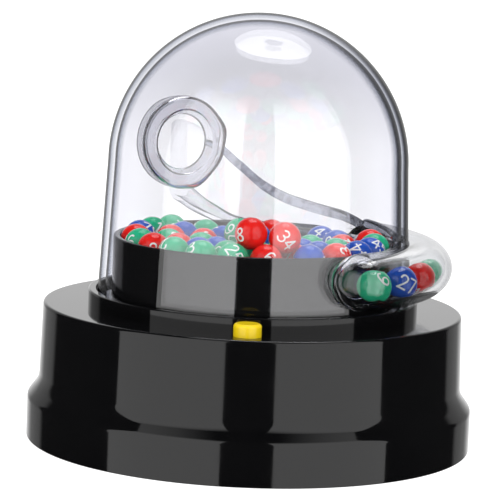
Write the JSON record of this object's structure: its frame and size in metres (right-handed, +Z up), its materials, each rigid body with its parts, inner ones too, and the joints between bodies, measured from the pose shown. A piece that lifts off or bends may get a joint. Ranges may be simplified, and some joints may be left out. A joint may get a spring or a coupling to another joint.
{
  "type": "lottery ball machine",
  "caption": "Battery-driven lottery ball machine: black base with push button, bowl of numbered balls, clear dome with ring, chute and outside collecting tube",
  "frame": {"origin": "centre of the underside of the foot", "axes": "+Z up along the dome's axis, -Y towards the push button, +X to the right as seen from the button"},
  "size_m": [0.13, 0.13, 0.125],
  "materials": {
    "black_plastic": "glossy moulded ABS",
    "inner_black": "plain moulded ABS",
    "clear_plastic": "clear polished polystyrene",
    "yellow_plastic": "glossy moulded ABS",
    "red_plastic": "glossy, printed white numbers",
    "green_plastic": "glossy, printed white numbers",
    "blue_plastic": "glossy, printed white numbers",
    "white_plastic": "moulded acetal",
    "steel": "zinc plated",
    "dark_steel": "blackened",
    "brass": "sintered",
    "board": "glass laminate with solder mask",
    "cell_wrap": "plain printed sleeve",
    "wire_red": "soft insulation",
    "wire_black": "soft insulation"
  },
  "bodies": {
    "base": {"base_housing": "black_plastic", "bowl_insert": "black_plastic", "bowl_screws": "steel", "base_plate": "inner_black", "base_screws": "dark_steel", "motor_can": "steel", "motor_bracket": "inner_black", "motor_screws": "steel", "bracket_screws": "steel", "shaft_bush": "brass", "battery_cell_front": "cell_wrap", "battery_cell_rear": "cell_wrap", "contact_plates": "steel", "contact_springs": "steel", "switch_board": "board", "board_screws": "steel", "switch_body": "inner_black", "battery_lead": "wire_red", "motor_lead": "wire_red", "return_lead": "wire_black", "balls_red": "red_plastic", "balls_green": "green_plastic", "balls_blue": "blue_plastic"},
    "stirrer": {"stirrer_shaft": "steel", "drive_gear": "white_plastic", "stirrer_paddle": "inner_black"},
    "motor_rotor": {"motor_shaft": "steel", "motor_pinion": "white_plastic"},
    "button": {"push_button": "yellow_plastic", "switch_plunger": "white_plastic", "button_spring": "steel"},
    "battery_door": {"battery_door": "inner_black"},
    "dome": {"dome_shell": "clear_plastic", "exit_tube": "clear_plastic", "chute_channel": "clear_plastic", "entry_ring": "clear_plastic"},
    "drawn_balls": {"drawn_balls": "green_plastic"}
  },
  "joints": [
    {"name": "button_press", "type": "slide", "parent": "base", "child": "button", "axis": [0, 0, -1], "range_m": [0, 0.0014], "stiffness_N_per_m": 300, "springref_m": -0.002, "deforming": ["button_spring"]},
    {"name": "stirrer_spin", "type": "hinge", "parent": "base", "child": "stirrer", "pos_m": [0, 0, 0.05], "axis": [0, 0, 1], "continuous": true},
    {"name": "motor_spin", "type": "hinge", "parent": "base", "child": "motor_rotor", "pos_m": [0, 0.012, 0.04], "axis": [0, 0, 1], "continuous": true},
    {"name": "dome_lift", "type": "slide", "parent": "base", "child": "dome", "axis": [0, 0, 1], "range_m": [0, 0.06]},
    {"name": "drawn_balls_roll", "type": "hinge", "parent": "dome", "child": "drawn_balls", "pos_m": [0, 0, 0.0523], "axis": [0, 0, 1], "range_deg": [0, 40]},
    {"name": "battery_door_lift", "type": "slide", "parent": "base", "child": "battery_door", "axis": [0, 0, -1], "range_m": [0, 0.03]}
  ],
  "couplings": [
    {"joint": "motor_spin", "follows": "stirrer_spin", "ratio": -3}
  ]
}
